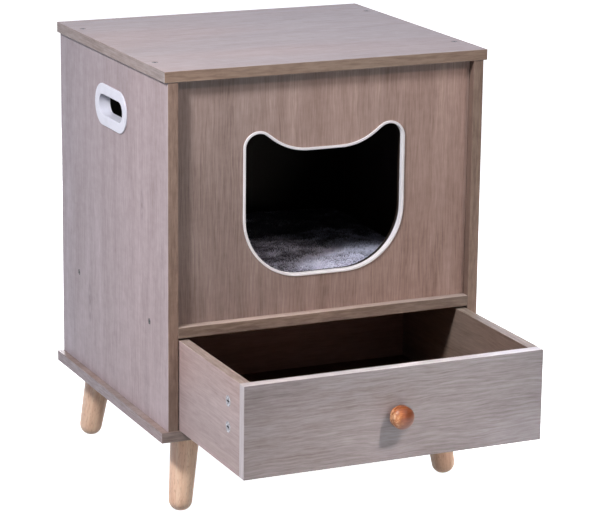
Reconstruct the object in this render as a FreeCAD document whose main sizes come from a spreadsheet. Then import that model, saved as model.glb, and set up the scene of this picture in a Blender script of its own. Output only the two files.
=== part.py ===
import FreeCAD, Part
import math
import operator
import os
import Sketcher
from types import SimpleNamespace

# A litter box enclosure: a board cabinet on four splayed legs, with a cat-head opening above a drawer.
# The frame: X to the right, the front faces -Y, Z up, and the origin on the floor under the cabinet's middle.

# Driving dimensions in millimetres, angles in degrees.
dimensions = {
    # carcass boards
    "board_thickness": 15,
    "cabinet_width": 468,
    "cabinet_depth": 421,
    "side_height": 480,
    "drawer_bay_height": 130,
    "front_recess": 12.5,
    "top_overhang_side": 5,
    "top_overhang_front": 1,
    "base_overhang_side": 9.5,
    "base_overhang_end": 1,
    "edge_radius": 0.6,
    # thin panels in their grooves
    "back_thickness": 3,
    "back_inset": 8,
    "groove_depth": 6,
    "groove_gap": 0.2,
    # cat-head opening, measured on the hole in the front panel
    "opening_width": 237,
    "opening_height": 174.5,
    "opening_drop": 13,
    "opening_corner": 85,
    "ear_height": 28,
    "ear_radius": 21,
    "ear_slope": 37,
    "brow_radius": 86.5,
    # plastic trim in the opening
    "trim_overlap": 2.2,
    "trim_flange": 1.5,
    "trim_wall": 1.3,
    "trim_depth": 6,
    "trim_round": 0.6,
    "sleeve_gap": 0.2,
    # handle grommets in the side boards
    "handle_width": 92,
    "handle_height": 29,
    "handle_drop": 73,
    "grommet_rim": 15,
    "grommet_flange": 2.2,
    "grommet_wall": 2,
    "grommet_round": 1,
    # legs, their bolts and inserts
    "leg_height": 109.5,
    "leg_top_diameter": 41.5,
    "leg_foot_diameter": 32,
    "leg_tip_radius": 15,
    "leg_tip_flat": 1.25,
    "leg_spare": 6,
    "leg_lean": 10.2,
    "leg_inset_side": 52,
    "leg_inset_end": 44.5,
    "leg_bolt_diameter": 8,
    "leg_bolt_in_leg": 28,
    "leg_bolt_in_insert": 9,
    "leg_bolt_tip": 3,
    "insert_diameter": 11,
    "insert_length": 11,
    # screws and dowels between the boards
    "screw_diameter": 4,
    "screw_head": 8,
    "screw_rim": 0.4,
    "screw_length": 45,
    "screw_tip": 5,
    "screw_sink": 0.2,
    "screw_inset": 70,
    "top_screw_shift": 2,
    "recess_span": 4.4,
    "recess_slot": 1.2,
    "recess_depth": 1.6,
    "dowel_diameter": 8,
    "dowel_in_face": 10,
    "dowel_in_edge": 20,
    "dowel_chamfer": 1,
    "dowel_inset": 150,
    "front_dowel_inset": 60,
    "hole_spare": 0.5,
    "fit_gap": 0.1,
    # plush pad on the shelf
    "pad_gap": 6,
    "pad_height": 46,
    "pad_corner": 55,
    "pad_draw_in": 8,
    "pad_side_radius": 500,
    "pad_clear": 0.3,
    # drawer
    "drawer_open": 220,
    "drawer_side_gap": 1.4,
    "drawer_floor_gap": 0.3,
    "drawer_top_gap": 3.2,
    "drawer_back_gap": 10,
    "drawer_board": 15,
    "drawer_bottom_thickness": 3,
    "drawer_bottom_lift": 10,
    "drawer_groove": 5,
    "drawer_screw_low": 34,
    "drawer_screw_pitch": 60,
    # cam fittings that hold the drawer's front
    "cam_diameter": 15,
    "cam_floor": 2.5,
    "cam_distance": 37,
    "cam_low": 57,
    "cam_pitch": 35,
    "cam_recess_span": 8,
    "cam_recess_slot": 2,
    "cam_recess_depth": 2.5,
    "cam_bolt_thread": 6,
    "cam_bolt_shank": 5,
    "cam_bolt_head": 6.8,
    "cam_bolt_in_front": 11,
    "cam_head_reach": 2,
    "cam_gap": 0.3,
    # turned knob and its screw
    "knob_diameter": 31,
    "knob_foot_diameter": 19,
    "knob_foot_length": 9,
    "knob_shoulder": 2,
    "knob_band": 3.6,
    "knob_groove": 1.5,
    "knob_dome": 9.5,
    "knob_screw_diameter": 4,
    "knob_screw_in_knob": 14,
    "knob_screw_head": 8,
    "knob_screw_head_height": 2.5,
}

# The pad's sections from its underside to its crown: share of the height, share of the plan size.
pad_section_shares = [
    (0, 0.95),
    (0.08, 0.975),
    (0.2, 0.992),
    (0.4, 1),
    (0.6, 0.99),
    (0.75, 0.955),
    (0.86, 0.89),
    (0.94, 0.77),
    (0.985, 0.57),
    (1, 0.3),
]

operations = {"+": operator.add, "-": operator.sub, "*": operator.mul, "/": operator.truediv}


class Formula:
    # A size that carries its number together with the sheet formula that gives it.
    def __init__(self, text, number):
        self.text = text
        self.number = number

    def __add__(self, other):
        return joined(self, "+", other)

    def __radd__(self, other):
        return joined(other, "+", self)

    def __sub__(self, other):
        return joined(self, "-", other)

    def __rsub__(self, other):
        return joined(other, "-", self)

    def __mul__(self, other):
        return joined(self, "*", other)

    def __rmul__(self, other):
        return joined(other, "*", self)

    def __truediv__(self, other):
        return joined(self, "/", other)

    def __neg__(self):
        return joined(0, "-", self)


def formula(value):
    return value if isinstance(value, Formula) else Formula(str(value), value)


def joined(first, sign, second):
    first = formula(first)
    second = formula(second)
    return Formula(f"({first.text} {sign} {second.text})", operations[sign](first.number, second.number))


def sine(angle):
    return Formula(f"sin({angle.text})", math.sin(math.radians(angle.number)))


def cosine(angle):
    return Formula(f"cos({angle.text})", math.cos(math.radians(angle.number)))


doc = FreeCAD.newDocument("LitterBoxEnclosure")
sheet = doc.addObject("Spreadsheet::Sheet", "sizes")
for row, (alias, value) in enumerate(dimensions.items(), start=1):
    sheet.set(f"A{row}", alias)
    sheet.set(f"B{row}", str(value))
    sheet.setAlias(f"B{row}", alias)
doc.recompute()
size = SimpleNamespace(**{alias: Formula(f"sizes.{alias}", value) for alias, value in dimensions.items()})

pieces = []
cuts = []


# Bodies, sketches and features

def bind(target, path, value):
    target.setExpression(path, formula(value).text)


def place(target, path, position):
    for axis, value in zip("xyz", position):
        bind(target, f"{path}.Base.{axis}", value)


def new_piece(label, position, solids=1, yaw=0):
    body = doc.addObject("PartDesign::Body", label)
    body.Label = label
    turn = FreeCAD.Rotation(FreeCAD.Vector(0, 0, 1), yaw)
    body.Placement = FreeCAD.Placement(FreeCAD.Vector(), turn)
    place(body, "Placement", position)
    pieces.append((body, solids))
    return body


def origin_part(body, role):
    return next(part for part in body.Origin.OriginFeatures if part.Role == role)


def new_sketch(body, name, plane, shift=(0, 0, 0)):
    sketch = body.newObject("Sketcher::SketchObject", f"{body.Label}_{name}_sketch")
    sketch.AttachmentSupport = [(origin_part(body, plane), "")]
    sketch.MapMode = "FlatFace"
    place(sketch, "AttachmentOffset", shift)
    return sketch


def shift_to(plane, x, y, z):
    # a sketch's own offset that brings it to a spot given in its body's axes
    return {"XY_Plane": (x, y, z), "XZ_Plane": (x, z, -formula(y)), "YZ_Plane": (y, z, x)}[plane]


def constrain(sketch, kind, references, value):
    value = formula(value)
    index = sketch.addConstraint(Sketcher.Constraint(kind, *references, value.number))
    bind(sketch, f"Constraints[{index}]", value)


def pin(sketch, geometry, point, x, y):
    constrain(sketch, "DistanceX", (-1, 1, geometry, point), x)
    constrain(sketch, "DistanceY", (-1, 1, geometry, point), y)


def draw_outline(sketch, corners, arcs=None):
    # straight runs through the corners; arcs gives the radius of a run that bulges to the right instead
    arcs = arcs or {}
    spots = [FreeCAD.Vector(formula(x).number, formula(y).number) for x, y in corners]
    runs = []
    for index, (start, end) in enumerate(zip(spots, spots[1:] + spots[:1])):
        if index in arcs:
            along = end - start
            rise = math.sqrt(formula(arcs[index]).number ** 2 - along.Length ** 2 / 4)
            left = FreeCAD.Vector(-along.y, along.x).normalize()
            centre = (start + end) / 2 + left * rise
            ring = Part.Circle(centre, FreeCAD.Vector(0, 0, 1), formula(arcs[index]).number)
            run = Part.ArcOfCircle(ring, ring.parameter(start), ring.parameter(end))
        else:
            run = Part.LineSegment(start, end)
        runs.append(sketch.addGeometry(run))
    for run, following in zip(runs, runs[1:] + runs[:1]):
        sketch.addConstraint(Sketcher.Constraint("Coincident", run, 2, following, 1))
    for run, (x, y) in zip(runs, corners):
        pin(sketch, run, 1, x, y)
    for index, radius in arcs.items():
        constrain(sketch, "Radius", (runs[index],), radius)


def draw_rectangle(sketch, left, bottom, right, top):
    draw_outline(sketch, [(left, bottom), (right, bottom), (right, top), (left, top)])


def draw_circles(sketch, spots, radius):
    for x, y in spots:
        centre = FreeCAD.Vector(formula(x).number, formula(y).number)
        ring = sketch.addGeometry(Part.Circle(centre, FreeCAD.Vector(0, 0, 1), formula(radius).number))
        pin(sketch, ring, 3, x, y)
        constrain(sketch, "Radius", (ring,), radius)


def draw_belt(sketch, arcs):
    # arcs joined by tangent lines, anticlockwise: (centre x, centre y, radius, 1 outward or -1 inward)
    centres = [FreeCAD.Vector(formula(x).number, formula(y).number) for x, y, radius, bend in arcs]
    reaches = [formula(radius).number * bend for x, y, radius, bend in arcs]
    headings = []
    for index in range(len(arcs)):
        following = (index + 1) % len(arcs)
        step = centres[following] - centres[index]
        swing = math.asin((reaches[following] - reaches[index]) / step.Length)
        headings.append(math.atan2(step.y, step.x) - swing)
    touches = []
    rings = []
    for index, (x, y, radius, bend) in enumerate(arcs):
        angles = [heading - bend * math.pi / 2 for heading in (headings[index - 1], headings[index])]
        rays = [FreeCAD.Vector(math.cos(angle), math.sin(angle)) for angle in angles]
        touches.append([centres[index] + ray * abs(reaches[index]) for ray in rays])
        circle = Part.Circle(centres[index], FreeCAD.Vector(0, 0, 1), formula(radius).number)
        rings.append(sketch.addGeometry(Part.ArcOfCircle(circle, *angles[::bend])))
        pin(sketch, rings[-1], 3, x, y)
        constrain(sketch, "Radius", (rings[-1],), radius)
    for index, (x, y, radius, bend) in enumerate(arcs):
        following = (index + 1) % len(arcs)
        line = sketch.addGeometry(Part.LineSegment(touches[index][1], touches[following][0]))
        leaving = 2 if bend > 0 else 1
        arriving = 1 if arcs[following][3] > 0 else 2
        sketch.addConstraint(Sketcher.Constraint("Tangent", rings[index], leaving, line, 1))
        sketch.addConstraint(Sketcher.Constraint("Tangent", line, 2, rings[following], arriving))


def pad(body, name, sketch, length, reverse=False):
    feature = body.newObject("PartDesign::Pad", f"{body.Label}_{name}")
    feature.Profile = sketch
    feature.Reversed = reverse
    bind(feature, "Length", length)
    return feature


def pocket(body, name, sketch, depth=None, reverse=False):
    feature = body.newObject("PartDesign::Pocket", f"{body.Label}_{name}")
    feature.Profile = sketch
    feature.Reversed = reverse
    if depth is None:
        feature.Type = "ThroughAll"
    else:
        bind(feature, "Length", depth)
    cuts.append(feature)


def drill(body, name, plane, lift, spots, radius, depth=None, reverse=False):
    sketch = new_sketch(body, name, plane, (0, 0, lift))
    draw_circles(sketch, spots, radius)
    pocket(body, name, sketch, depth, reverse)


def countersink(body, name, plane, lift, spots, reverse=False):
    sketch = new_sketch(body, name, plane, (0, 0, lift))
    draw_circles(sketch, spots, screw_hole)
    doc.recompute()
    feature = body.newObject("PartDesign::Hole", f"{body.Label}_{name}")
    feature.Profile = sketch
    feature.ThreadType = "None"
    bind(feature, "Diameter", 2 * screw_hole)
    feature.HoleCutType = "Countersink"
    feature.HoleCutCustomValues = True
    mouth = size.screw_head + 2 * (size.screw_sink + size.screw_rim + size.fit_gap)
    bind(feature, "HoleCutDiameter", mouth)
    feature.HoleCutCountersinkAngle = 90
    feature.DepthType = "ThroughAll"
    feature.Reversed = reverse
    cuts.append(feature)


def groove(body, name, plane, lift, corners, depth, reverse=False):
    sketch = new_sketch(body, name, plane, (0, 0, lift))
    draw_rectangle(sketch, *corners)
    pocket(body, name, sketch, depth, reverse)


def spin(body, name, plane, shift, axis, profile, arcs=None):
    # a turned solid; the profile's points are (distance from the axis, distance along it)
    sketch = new_sketch(body, name, plane, shift)
    corners = profile if axis == "V_Axis" else [(along, out) for out, along in profile]
    draw_outline(sketch, corners, arcs)
    feature = body.newObject("PartDesign::Revolution", f"{body.Label}_{name}")
    feature.Profile = sketch
    feature.ReferenceAxis = (sketch, [axis])
    feature.Angle = 360
    return feature


def round_edges(body, name, feature, radius, chosen):
    doc.recompute()
    edges = [f"Edge{number}" for number, edge in enumerate(feature.Shape.Edges, start=1) if chosen(edge)]
    fillet = body.newObject("PartDesign::Fillet", f"{body.Label}_{name}")
    fillet.Base = (feature, edges)
    bind(fillet, "Radius", radius)


def mirror(body, plane):
    doc.recompute()
    feature = body.newObject("PartDesign::Mirrored", f"{body.Label}_mirror")
    feature.TransformMode = "Whole shape"
    feature.MirrorPlane = (origin_part(body, plane), [""])
    body.Tip = feature


def second_row(body, pitch):
    doc.recompute()
    feature = body.newObject("PartDesign::LinearPattern", f"{body.Label}_rows")
    feature.TransformMode = "Whole shape"
    feature.Direction = (origin_part(body, "Z_Axis"), [""])
    feature.Mode = "Spacing"
    feature.Occurrences = 2
    bind(feature, "Offset", pitch)
    body.Tip = feature


def board(label, position, plane, corners, thickness, reverse=False):
    body = new_piece(label, position)
    sketch = new_sketch(body, "outline", plane)
    draw_rectangle(sketch, *corners)
    slab = pad(body, "slab", sketch, thickness, reverse)
    round_edges(body, "edges", slab, size.edge_radius, lambda edge: True)
    return body


# Places that several pieces share

half_inner = size.cabinet_width / 2 - size.board_thickness
half_depth = size.cabinet_depth / 2
half_board = size.board_thickness / 2
base_top = size.leg_height + size.board_thickness
side_top = base_top + size.side_height
shelf_under = base_top + size.drawer_bay_height
shelf_top = shelf_under + size.board_thickness
front_height = size.side_height - size.drawer_bay_height - size.board_thickness
front_face = size.front_recess - half_depth
back_front = half_depth - size.back_inset - size.back_thickness
groove_front = back_front - size.groove_gap
groove_back = back_front + size.back_thickness + size.groove_gap
groove_reach = half_inner + size.groove_depth
back_reach = size.groove_depth - size.groove_gap

screw_hole = size.screw_diameter / 2 + size.fit_gap
screw_bite = size.screw_length - size.board_thickness + size.screw_sink + size.hole_spare
screw_y = half_depth - size.screw_inset
side_middle = half_inner + half_board
top_screw_x = side_middle - size.top_screw_shift
dowel_hole = size.dowel_diameter / 2 + size.fit_gap
dowel_face = size.dowel_in_face + size.hole_spare
dowel_edge = size.dowel_in_edge + size.hole_spare
dowel_y = half_depth - size.dowel_inset
front_dowel_x = half_inner - size.front_dowel_inset
front_dowel_y = front_face + half_board

leg_x = size.cabinet_width / 2 + size.base_overhang_side - size.leg_inset_side
leg_y = half_depth + size.base_overhang_end - size.leg_inset_end
handle_z = size.side_height - size.handle_drop

drawer_half = half_inner - size.drawer_side_gap
drawer_inner = drawer_half - size.drawer_board
drawer_y = -half_depth - size.drawer_open
drawer_z = base_top + size.drawer_floor_gap
drawer_height = size.drawer_bay_height - size.drawer_floor_gap - size.drawer_top_gap
drawer_depth = half_depth + back_front - size.drawer_back_gap
drawer_side_length = drawer_depth - size.drawer_board
drawer_side_middle = drawer_inner + size.drawer_board / 2
drawer_screw_y = drawer_side_length - size.drawer_board / 2
bottom_low = size.drawer_bottom_lift - size.groove_gap
cam_depth = size.drawer_board - size.cam_floor
bottom_high = size.drawer_bottom_lift + size.drawer_bottom_thickness + size.groove_gap


def four(x, y):
    return [(-x, -y), (x, -y), (-x, y), (x, y)]


# Top, base and shelf boards

def top_panel():
    half_width = size.cabinet_width / 2 + size.top_overhang_side
    corners = (-half_width, -half_depth - size.top_overhang_front, half_width, half_depth)
    body = board("top_panel", (0, 0, side_top), "XY_Plane", corners, size.board_thickness)
    back_slot = (-groove_reach, groove_front, groove_reach, groove_back)
    groove(body, "back_groove", "XY_Plane", 0, back_slot, size.groove_depth, reverse=True)
    dowel_spots = four(side_middle, dowel_y)
    dowel_spots += [(-front_dowel_x, front_dowel_y), (front_dowel_x, front_dowel_y)]
    drill(body, "dowels", "XY_Plane", 0, dowel_spots, dowel_hole, dowel_face, reverse=True)
    countersink(body, "screws", "XY_Plane", size.board_thickness, four(top_screw_x, screw_y))


def base_panel():
    half_width = size.cabinet_width / 2 + size.base_overhang_side
    half_length = half_depth + size.base_overhang_end
    corners = (-half_width, -half_length, half_width, half_length)
    body = board("base_panel", (0, 0, size.leg_height), "XY_Plane", corners, size.board_thickness)
    back_slot = (-groove_reach, groove_front, groove_reach, groove_back)
    groove(body, "back_groove", "XY_Plane", size.board_thickness, back_slot, size.groove_depth)
    dowel_spots = four(side_middle, dowel_y)
    drill(body, "dowels", "XY_Plane", size.board_thickness, dowel_spots, dowel_hole, dowel_face)
    insert_hole = size.insert_diameter / 2 + size.fit_gap
    drill(body, "inserts", "XY_Plane", 0, four(leg_x, leg_y), insert_hole,
          size.insert_length + size.hole_spare, reverse=True)
    countersink(body, "screws", "XY_Plane", 0, four(side_middle, screw_y), reverse=True)


def shelf_panel():
    corners = (-half_inner, -half_depth, half_inner, groove_front)
    body = board("shelf_panel", (0, 0, shelf_under), "XY_Plane", corners, size.board_thickness)
    for side, name in ((-1, "left"), (1, "right")):
        screw_spots = [(-screw_y, half_board), (screw_y, half_board)]
        dowel_spots = [(-dowel_y, half_board), (dowel_y, half_board)]
        end = side * half_inner
        drill(body, f"{name}_screws", "YZ_Plane", end, screw_spots, screw_hole, screw_bite, side < 0)
        drill(body, f"{name}_dowels", "YZ_Plane", end, dowel_spots, dowel_hole, dowel_edge, side < 0)
    front_spots = [(-front_dowel_x, front_dowel_y), (front_dowel_x, front_dowel_y)]
    drill(body, "front_dowels", "XY_Plane", size.board_thickness, front_spots, dowel_hole, dowel_face)


# Upright boards

def handle_belt(offset):
    radius = size.handle_height / 2
    reach = size.handle_width / 2 - radius
    return [(reach, 0, radius + offset, 1), (-reach, 0, radius + offset, 1)]


def side_panel(label, side):
    corners = (-half_depth, 0, half_depth, size.side_height)
    position = (side * half_inner, 0, base_top)
    body = board(label, position, "YZ_Plane", corners, size.board_thickness, reverse=side < 0)
    outer = side * size.board_thickness
    inward = side > 0
    groove(body, "back_groove", "YZ_Plane", 0, (groove_front, 0, groove_back, size.side_height),
           size.groove_depth, inward)
    hole = new_sketch(body, "handle", "YZ_Plane", (0, handle_z, 0))
    draw_belt(hole, handle_belt(size.grommet_wall + size.sleeve_gap))
    pocket(body, "handle", hole, reverse=inward)
    shelf_z = size.drawer_bay_height + half_board
    dowel_spots = [(-dowel_y, shelf_z), (dowel_y, shelf_z)]
    drill(body, "shelf_dowels", "YZ_Plane", 0, dowel_spots, dowel_hole, dowel_face, inward)
    middle = side * half_board
    screw_x = side * (half_board - size.top_screw_shift)
    for name, lift, x, upward in (("top", size.side_height, screw_x, False), ("base", 0, middle, True)):
        screw_spots = [(x, -screw_y), (x, screw_y)]
        edge_dowels = [(middle, -dowel_y), (middle, dowel_y)]
        drill(body, f"{name}_screws", "XY_Plane", lift, screw_spots, screw_hole, screw_bite, upward)
        drill(body, f"{name}_dowels", "XY_Plane", lift, edge_dowels, dowel_hole, dowel_edge, upward)
    screw_spots = [(-screw_y, shelf_z), (screw_y, shelf_z)]
    countersink(body, "shelf_screws", "YZ_Plane", outer, screw_spots, reverse=side < 0)


def cat_belt(offset):
    # the cat-head outline: two rounded lower corners, two ears and the brow that dips between them
    half_width = size.opening_width / 2
    sill = (front_height - size.opening_height - size.ear_height) / 2 - size.opening_drop
    brow = sill + size.opening_height
    corner_x = half_width - size.opening_corner
    corner_z = sill + size.opening_corner
    ear_x = half_width - size.ear_radius
    ear_z = brow + size.ear_height - size.ear_radius
    both = size.brow_radius + size.ear_radius
    fall = both * (1 - cosine(size.ear_slope)) + cosine(size.ear_slope) * size.ear_height
    brow_x = ear_x - fall / sine(size.ear_slope)
    brow_z = brow + size.brow_radius
    return [
        (corner_x, corner_z, size.opening_corner + offset, 1),
        (ear_x, ear_z, size.ear_radius + offset, 1),
        (brow_x, brow_z, size.brow_radius - offset, -1),
        (-brow_x, brow_z, size.brow_radius - offset, -1),
        (-ear_x, ear_z, size.ear_radius + offset, 1),
        (-corner_x, corner_z, size.opening_corner + offset, 1),
    ]


def front_panel():
    corners = (-half_inner, 0, half_inner, front_height)
    body = board("front_panel", (0, front_face, shelf_top), "XZ_Plane", corners, size.board_thickness, True)
    opening = new_sketch(body, "opening", "XZ_Plane")
    draw_belt(opening, cat_belt(0))
    pocket(body, "opening", opening)
    spots = [(-front_dowel_x, half_board), (front_dowel_x, half_board)]
    drill(body, "lower_dowels", "XY_Plane", 0, spots, dowel_hole, dowel_edge, reverse=True)
    drill(body, "upper_dowels", "XY_Plane", front_height, spots, dowel_hole, dowel_edge)


def back_panel():
    half_width = half_inner + back_reach
    corners = (-half_width, -back_reach, half_width, size.side_height + back_reach)
    body = new_piece("back_panel", (0, back_front, base_top))
    sketch = new_sketch(body, "outline", "XZ_Plane")
    draw_rectangle(sketch, *corners)
    pad(body, "sheet", sketch, size.back_thickness, reverse=True)


# Plastic trim and grommets

def opening_trim():
    body = new_piece("opening_trim", (0, front_face, shelf_top))
    inner = -size.sleeve_gap - size.trim_wall
    sleeve = new_sketch(body, "sleeve", "XZ_Plane")
    draw_belt(sleeve, cat_belt(-size.sleeve_gap))
    draw_belt(sleeve, cat_belt(inner))
    pad(body, "sleeve", sleeve, size.trim_depth, reverse=True)
    flange = new_sketch(body, "flange", "XZ_Plane")
    draw_belt(flange, cat_belt(size.trim_overlap))
    draw_belt(flange, cat_belt(inner))
    lip = pad(body, "flange", flange, size.trim_flange)
    face = -size.trim_flange.number
    round_edges(body, "lip", lip, size.trim_round, lambda edge: edge.BoundBox.YMax < face * 0.99)


def handle_grommet(label, side):
    position = (side * size.cabinet_width / 2, 0, base_top + handle_z)
    body = new_piece(label, position)
    sleeve = new_sketch(body, "sleeve", "YZ_Plane")
    draw_belt(sleeve, handle_belt(size.grommet_wall))
    draw_belt(sleeve, handle_belt(0))
    pad(body, "sleeve", sleeve, size.board_thickness, reverse=side > 0)
    flange = new_sketch(body, "flange", "YZ_Plane")
    draw_belt(flange, handle_belt(size.grommet_rim))
    draw_belt(flange, handle_belt(0))
    lip = pad(body, "flange", flange, size.grommet_flange, reverse=side < 0)
    face = size.grommet_flange.number
    round_edges(body, "lip", lip, size.grommet_round, lambda edge: side * edge.CenterOfMass.x > face * 0.99)


# Legs with their bolts and inserts

def leg(label, side, end):
    position = (side * leg_x, end * leg_y, size.leg_height)
    body = new_piece(label, position, yaw=math.degrees(math.atan2(end, side)))
    foot = size.leg_foot_diameter / 2
    tip_centre = size.leg_height + size.leg_tip_flat - size.leg_tip_radius
    tip_drop = (foot - size.leg_tip_radius) * sine(size.leg_lean)
    length = size.leg_tip_radius + (tip_centre - tip_drop) / cosine(size.leg_lean)
    top = size.leg_top_diameter / 2
    profile = [(0, -length), (foot, -length), (top, size.leg_spare), (0, size.leg_spare)]
    turned = spin(body, "turned", "XZ_Plane", (0, 0, 0), "V_Axis", profile)
    bind(turned.Profile[0], "AttachmentOffset.Rotation.Angle", size.leg_lean)
    middle = -size.leg_height.number / 2
    round_edges(body, "tip", turned, size.leg_tip_radius,
                lambda edge: edge.isClosed() and edge.CenterOfMass.z < middle)
    reach = size.leg_height
    for name, lift, upward in (("top_level", 0, True), ("foot_level", -size.leg_height, False)):
        groove(body, name, "XY_Plane", lift, (-reach, -reach, reach, reach), None, upward)
    bolt_hole = size.leg_bolt_diameter / 2 + size.fit_gap
    drill(body, "bolt", "XY_Plane", 0, [(0, 0)], bolt_hole, size.leg_bolt_in_leg + size.hole_spare)


def leg_bolts():
    body = new_piece("leg_bolts", (0, 0, size.leg_height), solids=4)
    radius = size.leg_bolt_diameter / 2
    point = radius - size.leg_bolt_tip / 2
    profile = [
        (0, -size.leg_bolt_in_leg),
        (point, -size.leg_bolt_in_leg),
        (radius, size.leg_bolt_tip - size.leg_bolt_in_leg),
        (radius, size.leg_bolt_in_insert),
        (0, size.leg_bolt_in_insert),
    ]
    spin(body, "bolt", "XZ_Plane", shift_to("XZ_Plane", leg_x, leg_y, 0), "V_Axis", profile)
    mirror(body, "YZ_Plane")
    mirror(body, "XZ_Plane")


def leg_inserts():
    body = new_piece("leg_inserts", (0, 0, size.leg_height), solids=4)
    bore = size.leg_bolt_diameter / 2 + size.fit_gap
    outer = size.insert_diameter / 2
    profile = [(bore, 0), (outer, 0), (outer, size.insert_length), (bore, size.insert_length)]
    spin(body, "sleeve", "XZ_Plane", shift_to("XZ_Plane", leg_x, leg_y, 0), "V_Axis", profile)
    mirror(body, "YZ_Plane")
    mirror(body, "XZ_Plane")


# Screws and dowels

def draw_cross(sketch, span, slot):
    arm = span / 2
    half = slot / 2
    quarter = [(arm, -half), (arm, half), (half, half)]
    corners = []
    for turn in range(4):
        for x, y in quarter:
            corners.append([(x, y), (-y, x), (-x, -y), (y, -x)][turn])
    draw_outline(sketch, corners)


def one_screw(body, x, y, z, axis, toward):
    # a countersunk screw whose head is at the spot and whose tip points along the axis, up or down it
    shank = size.screw_diameter / 2
    head = size.screw_head / 2
    neck = head - shank + size.screw_rim
    lengths = [(0, 0), (head, 0), (head, size.screw_rim), (shank, neck)]
    lengths += [(shank, size.screw_length - size.screw_tip), (0, size.screw_length)]
    profile = [(out, toward * formula(along)) for out, along in lengths]
    spin(body, "screw", "XZ_Plane", shift_to("XZ_Plane", x, y, z), axis, profile)
    face = "XY_Plane" if axis == "V_Axis" else "YZ_Plane"
    recess = new_sketch(body, "recess", face, shift_to(face, x, y, z))
    draw_cross(recess, size.recess_span, size.recess_slot)
    pocket(body, "recess", recess, size.recess_depth, reverse=toward > 0)


def board_screws(label, x, z, axis, toward):
    body = new_piece(label, (0, 0, z), solids=4)
    one_screw(body, x, -screw_y, 0, axis, toward)
    mirror(body, "YZ_Plane")
    mirror(body, "XZ_Plane")


def one_dowel(body, x, y, z, axis, low, high):
    radius = size.dowel_diameter / 2
    end = radius - size.dowel_chamfer
    profile = [
        (0, low),
        (end, low),
        (radius, low + size.dowel_chamfer),
        (radius, high - size.dowel_chamfer),
        (end, high),
        (0, high),
    ]
    spin(body, "dowel", "XZ_Plane", shift_to("XZ_Plane", x, y, z), axis, profile)


def board_dowels(label, x, z, axis, low, high):
    body = new_piece(label, (0, 0, z), solids=4)
    one_dowel(body, x, -dowel_y, 0, axis, low, high)
    mirror(body, "YZ_Plane")
    mirror(body, "XZ_Plane")


def front_panel_dowels():
    # two stand in the shelf and reach up into the panel, two hang in the top and reach down into it
    body = new_piece("front_panel_dowels", (0, front_dowel_y, shelf_top), solids=4)
    one_dowel(body, -front_dowel_x, 0, 0, "V_Axis", -size.dowel_in_face, size.dowel_in_edge)
    second_row(body, front_height + size.dowel_in_face - size.dowel_in_edge)
    mirror(body, "YZ_Plane")


# Plush pad

def plush_pad():
    front = front_face + size.board_thickness
    position = (0, (front + back_front) / 2, shelf_top + size.pad_clear)
    body = new_piece("cushion", position)
    half_width = half_inner - size.pad_gap
    half_length = (back_front - front) / 2 - size.pad_gap
    sections = []
    for height_share, plan_share in pad_section_shares:
        section = new_sketch(body, "section", "XY_Plane", (0, 0, size.pad_height * height_share))
        corner_x = (half_width - size.pad_corner) * plan_share
        corner_y = (half_length - size.pad_corner) * plan_share
        corner = size.pad_corner * plan_share
        bow = size.pad_side_radius * plan_share
        side_x = (half_width - size.pad_draw_in + size.pad_side_radius) * plan_share
        side_y = (half_length - size.pad_draw_in + size.pad_side_radius) * plan_share
        draw_belt(section, [
            (0, -side_y, bow, -1),
            (corner_x, -corner_y, corner, 1),
            (side_x, 0, bow, -1),
            (corner_x, corner_y, corner, 1),
            (0, side_y, bow, -1),
            (-corner_x, corner_y, corner, 1),
            (-side_x, 0, bow, -1),
            (-corner_x, -corner_y, corner, 1),
        ])
        sections.append(section)
    loft = body.newObject("PartDesign::AdditiveLoft", "cushion_loft")
    loft.Profile = sections[0]
    loft.Sections = sections[1:]
    loft.Ruled = True


# Drawer

def drawer_front():
    corners = (-drawer_half, 0, drawer_half, drawer_height)
    body = board("drawer_front", (0, drawer_y, drawer_z), "XZ_Plane", corners, size.drawer_board, True)
    inside = -size.drawer_board
    slot = drawer_inner + size.drawer_groove
    groove(body, "bottom_groove", "XZ_Plane", inside, (-slot, bottom_low, slot, bottom_high),
           size.drawer_groove, reverse=True)
    cam_high = size.cam_low + size.cam_pitch
    bolt_hole = size.cam_bolt_thread / 2 + size.fit_gap
    bolt_spots = [(side * drawer_side_middle, z) for side in (-1, 1) for z in (size.cam_low, cam_high)]
    drill(body, "cam_bolts", "XZ_Plane", inside, bolt_spots, bolt_hole,
          size.cam_bolt_in_front + size.hole_spare, reverse=True)
    knob_hole = size.knob_screw_diameter / 2 + size.fit_gap
    drill(body, "knob_screw", "XZ_Plane", 0, [(0, drawer_height / 2)], knob_hole)


def drawer_side(label, side):
    corners = (0, 0, drawer_side_length, drawer_height)
    position = (side * drawer_inner, drawer_y + size.drawer_board, drawer_z)
    body = board(label, position, "YZ_Plane", corners, size.drawer_board, reverse=side < 0)
    outer = side * size.drawer_board
    slot_end = drawer_side_length - size.drawer_board + size.drawer_groove
    groove(body, "bottom_groove", "YZ_Plane", 0, (0, bottom_low, slot_end, bottom_high),
           size.drawer_groove, reverse=side > 0)
    heights = (size.cam_low, size.cam_low + size.cam_pitch)
    drill(body, "cams", "YZ_Plane", outer, [(size.cam_distance, z) for z in heights],
          size.cam_diameter / 2 + size.fit_gap, cam_depth, reverse=side < 0)
    bolt_x = side * size.drawer_board / 2
    drill(body, "cam_bolts", "XZ_Plane", 0, [(bolt_x, z) for z in heights],
          size.cam_bolt_head / 2 + size.cam_gap, size.cam_distance)
    screw_heights = (size.drawer_screw_low, size.drawer_screw_low + size.drawer_screw_pitch)
    countersink(body, "screws", "YZ_Plane", outer, [(drawer_screw_y, z) for z in screw_heights], side < 0)


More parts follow.
